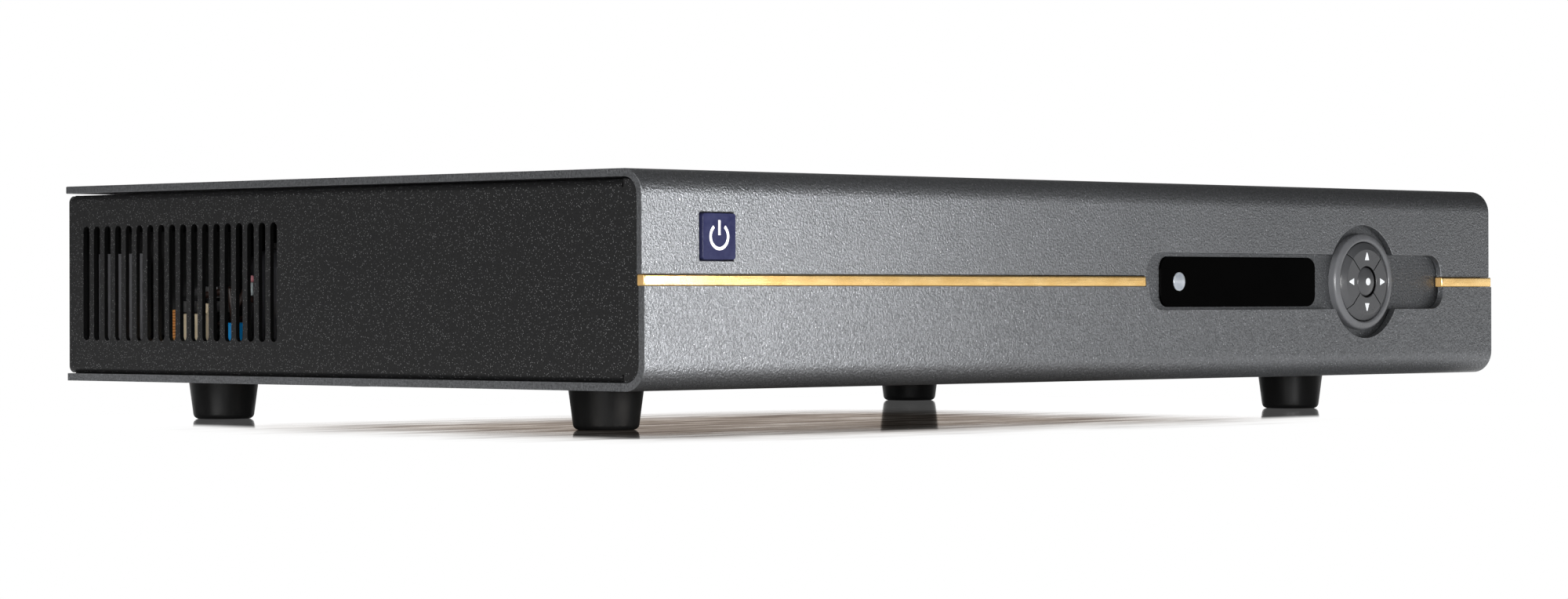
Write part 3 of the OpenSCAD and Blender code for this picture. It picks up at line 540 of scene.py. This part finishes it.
def standby_icon():
    """The generic standby mark: an open ring with an upright bar through the gap."""
    low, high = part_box("standby_button")
    # the flange behind the cover is wider, but it has the same middle
    x, z = (low.x + high.x) / 2, (low.z + high.z) / 2
    radius, width, gap = 3.7 * MM, 0.95 * MM, 38
    ring = arc_points((x, z), radius + width / 2, gap, 360 - gap, 48)
    ring += reversed(arc_points((x, z), radius - width / 2, gap, 360 - gap, 48))
    piece("standby_ring", plate(ring, low.y - INK, low.y + INK), INLAY, "standby_button")
    bar = [(x - width / 2, z + 0.4 * MM), (x + width / 2, z + 0.4 * MM),
           (x + width / 2, z + 4.9 * MM), (x - width / 2, z + 4.9 * MM)]
    piece("standby_bar", plate(bar, low.y - INK, low.y + INK), INLAY, "standby_button")


filter_details()
key_legends()
standby_icon()


# ---------------------------------------------------------------------------------------
# Studio
# ---------------------------------------------------------------------------------------

def floor_finish(low, high):
    """Glossy white paper, with soft brown streaks of shadow under the front left of the case."""
    f = Finish("floor", (1, 1, 1), 0.1)
    nodes = f.tree.nodes
    nodes.remove(f.shader)

    def vector(operation, source, value=(0, 0, 0)):
        node = nodes.new("ShaderNodeVectorMath")
        node.operation = operation
        f.link(source, node.inputs[0])
        node.inputs[1].default_value = value
        return node.outputs["Value" if operation == "LENGTH" else "Vector"]

    def fade(source, start, end):
        node = nodes.new("ShaderNodeMapRange")
        node.interpolation_type = "SMOOTHSTEP"
        node.inputs["From Min"].default_value = start
        node.inputs["From Max"].default_value = end
        f.link(source, node.inputs["Value"])
        return node.outputs["Result"]

    def outside(middle, half):
        """How far a place on the floor is outside a rectangle."""
        across = vector("ABSOLUTE", vector("SUBTRACT", f.place, (middle.x, middle.y, 0)))
        return vector("LENGTH", vector("MAXIMUM", vector("SUBTRACT", across, (half.x, half.y, 1))))

    middle, half = (low + high) / 2, (high - low) / 2
    streaks = f.noise(14, detail=6, roughness=0.7, stretch=(0.2, 1.4, 1))
    ragged = f.math("MULTIPLY", f.math("SUBTRACT", streaks, 0.5), 0.09)
    front_left = outside(middle - half * Vector((0.42, 0.5, 0)), half * Vector((0.42, 0.3, 0)))
    shadow = f.math("SUBTRACT", 1.0, fade(f.math("ADD", front_left, ragged), 0.0, 0.1))
    brown = f.ramp(streaks, (0.36, (0.13, 0.1, 0.085)), (0.52, (0.33, 0.28, 0.24)),
                   (0.68, (0.72, 0.66, 0.61)))
    tint = f.blend(shadow, (1, 1, 1), brown)

    # the camera sees an even white; to the left of the case the floor throws less light on it
    left = fade(f.axis(f.place, "X"), low.x - 0.1, low.x - 0.01)
    thrown = f.math("ADD", f.math("MULTIPLY", left, 0.8), 0.2)
    strength = nodes.new("ShaderNodeMix")
    f.link(nodes.new("ShaderNodeLightPath").outputs["Is Camera Ray"], strength.inputs["Factor"])
    f.link(thrown, strength.inputs["A"])
    strength.inputs["B"].default_value = 1.0
    glow = nodes.new("ShaderNodeEmission")
    f.link(tint, glow.inputs["Color"])
    f.link(strength.outputs["Result"], glow.inputs["Strength"])

    gloss = nodes.new("ShaderNodeBsdfAnisotropic")
    f.link(tint, gloss.inputs["Color"])
    f.link(f.ramp(streaks, (0.3, 0.04), (0.7, 0.1)), gloss.inputs["Roughness"])
    under_case = f.math("SUBTRACT", 1.0, fade(outside(middle, half), 0.0, 0.03))
    mix = nodes.new("ShaderNodeMixShader")
    f.link(f.math("MULTIPLY", under_case, 0.95), mix.inputs["Fac"])
    f.link(glow.outputs["Emission"], mix.inputs[1])
    f.link(gloss.outputs["BSDF"], mix.inputs[2])
    f.link(mix.outputs["Shader"], nodes["Material Output"].inputs["Surface"])
    return f.material


def floor(side, material):
    mesh = bmesh.new()
    bmesh.ops.create_grid(mesh, x_segments=1, y_segments=1, size=side / 2)
    data = bpy.data.meshes.new("floor")
    mesh.to_mesh(data)
    mesh.free()
    data.materials.append(material)
    obj = bpy.data.objects.new("floor", data)
    bpy.context.scene.collection.objects.link(obj)


def soft_light(name, width, height, place, target, watts):
    data = bpy.data.lights.new(name, "AREA")
    data.shape = "RECTANGLE"
    data.size, data.size_y = width, height
    data.energy = watts
    obj = bpy.data.objects.new(name, data)
    bpy.context.scene.collection.objects.link(obj)
    obj.location = place
    obj.visible_camera = False
    obj.rotation_euler = (Vector(target) - Vector(place)).to_track_quat("-Z", "Y").to_euler()


def world(seen, ambient, backdrop):
    """White to the camera. The object is lit by a dim grey, and by a bright low backdrop behind it."""
    scene_world = bpy.data.worlds.new("studio")
    bpy.context.scene.world = scene_world
    scene_world.use_nodes = True
    nodes, links = scene_world.node_tree.nodes, scene_world.node_tree.links
    nodes.clear()

    def background(strength):
        node = nodes.new("ShaderNodeBackground")
        node.inputs["Color"].default_value = (1, 1, 1, 1)
        node.inputs["Strength"].default_value = strength
        return node.outputs["Background"]

    def mixed(fac, first, second):
        node = nodes.new("ShaderNodeMixShader")
        links.new(fac, node.inputs["Fac"])
        links.new(first, node.inputs[1])
        links.new(second, node.inputs[2])
        return node.outputs["Shader"]

    def band(source, start, end):
        node = nodes.new("ShaderNodeMapRange")
        node.inputs["From Min"].default_value = start
        node.inputs["From Max"].default_value = end
        links.new(source, node.inputs["Value"])
        return node.outputs["Result"]

    direction = nodes.new("ShaderNodeTexCoord").outputs["Generated"]
    behind = nodes.new("ShaderNodeVectorMath")
    behind.operation = "DOT_PRODUCT"
    links.new(direction, behind.inputs[0])
    behind.inputs[1].default_value = (0.71, 0.7, 0)
    split = nodes.new("ShaderNodeSeparateXYZ")
    links.new(direction, split.inputs["Vector"])
    low_down = nodes.new("ShaderNodeMath")
    low_down.operation = "MULTIPLY"
    links.new(band(behind.outputs["Value"], 0.5, 0.75), low_down.inputs[0])
    links.new(band(split.outputs["Z"], 0.3, 0.12), low_down.inputs[1])
    lighting = mixed(low_down.outputs["Value"], background(ambient), background(backdrop))
    path = nodes.new("ShaderNodeLightPath")
    shown = mixed(path.outputs["Is Camera Ray"], lighting, background(seen))
    links.new(shown, nodes.new("ShaderNodeOutputWorld").inputs["Surface"])


def camera():
    """Level with the lower half of the case, off its front left corner."""
    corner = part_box("bottom_cover")[0]
    left_of_case, in_front, height = 0.86832, 0.91104, 0.04077
    azimuth, roll = math.radians(45.511), -0.00195
    data = bpy.data.cameras.new("camera")
    data.lens = 97.36
    data.sensor_width = 36
    data.clip_start, data.clip_end = 0.05, 50
    obj = bpy.data.objects.new("camera", data)
    bpy.context.scene.collection.objects.link(obj)
    place = Vector((corner.x - left_of_case, corner.y - in_front, height))
    turn = Matrix.Rotation(-azimuth, 4, "Z") @ Matrix.Rotation(math.pi / 2, 4, "X")
    obj.matrix_world = Matrix.Translation(place) @ turn @ Matrix.Rotation(roll, 4, "Z")
    bpy.context.scene.camera = obj


world(seen=1.0, ambient=0.08, backdrop=1.1)
floor(14, floor_finish(*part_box("bottom_cover")))
soft_light("key_light", 0.3, 0.06, (-0.12, -0.46, 0.046), (-0.2, -0.148, 0.046), 1.4)
soft_light("trim_glint", 1.05, 0.06, (0.75, -0.88, 0.046), (0.0, -0.148, 0.046), 0.28)
soft_light("left_front", 0.9, 0.07, (-1.35, -1.15, 0.042), (-0.12, -0.08, 0.042), 13)
soft_light("left_side", 0.8, 0.4, (-1.5, -0.45, 0.3), (-0.2, 0.08, 0.035), 9)
soft_light("left_rear", 0.5, 0.2, (-1.1, 0.85, 0.12), (-0.2, 0.0, 0.045), 0.5)
soft_light("top_light", 1.6, 1.0, (0.2, 1.2, 1.4), (0, 0, 0), 5)
camera()
bpy.context.scene.view_settings.view_transform = "Standard"
